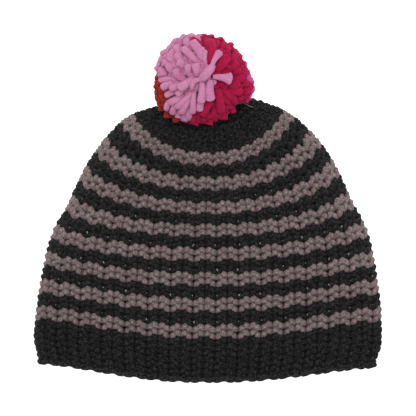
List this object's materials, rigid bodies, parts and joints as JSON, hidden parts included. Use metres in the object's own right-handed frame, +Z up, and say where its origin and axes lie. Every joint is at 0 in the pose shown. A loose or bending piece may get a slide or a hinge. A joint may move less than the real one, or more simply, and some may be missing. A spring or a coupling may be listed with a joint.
{
  "type": "knitted pompom beanie",
  "caption": "Striped hand-knitted beanie with a yarn pompom, lying flat on its back, open at the rim for a head.",
  "frame": {"origin": "on the flat underside of the cap, on its centre line and halfway between rim and crown tip", "axes": "+X across the cap, +Y from the open rim to the pompom, +Z up from the surface that it lies on"},
  "size_m": [0.2491, 0.2497, 0.0682],
  "materials": {
    "charcoal_wool": "matt bulky wool yarn, heathered",
    "mauve_wool": "matt bulky wool yarn, heathered",
    "rose_wool": "matt soft wool yarn",
    "crimson_wool": "matt soft wool yarn",
    "rust_wool": "matt soft wool yarn",
    "pale_wool": "matt wool yarn"
  },
  "bodies": {
    "root": {"cap": "charcoal_wool", "pompom": "rose_wool"}
  },
  "joints": []
}
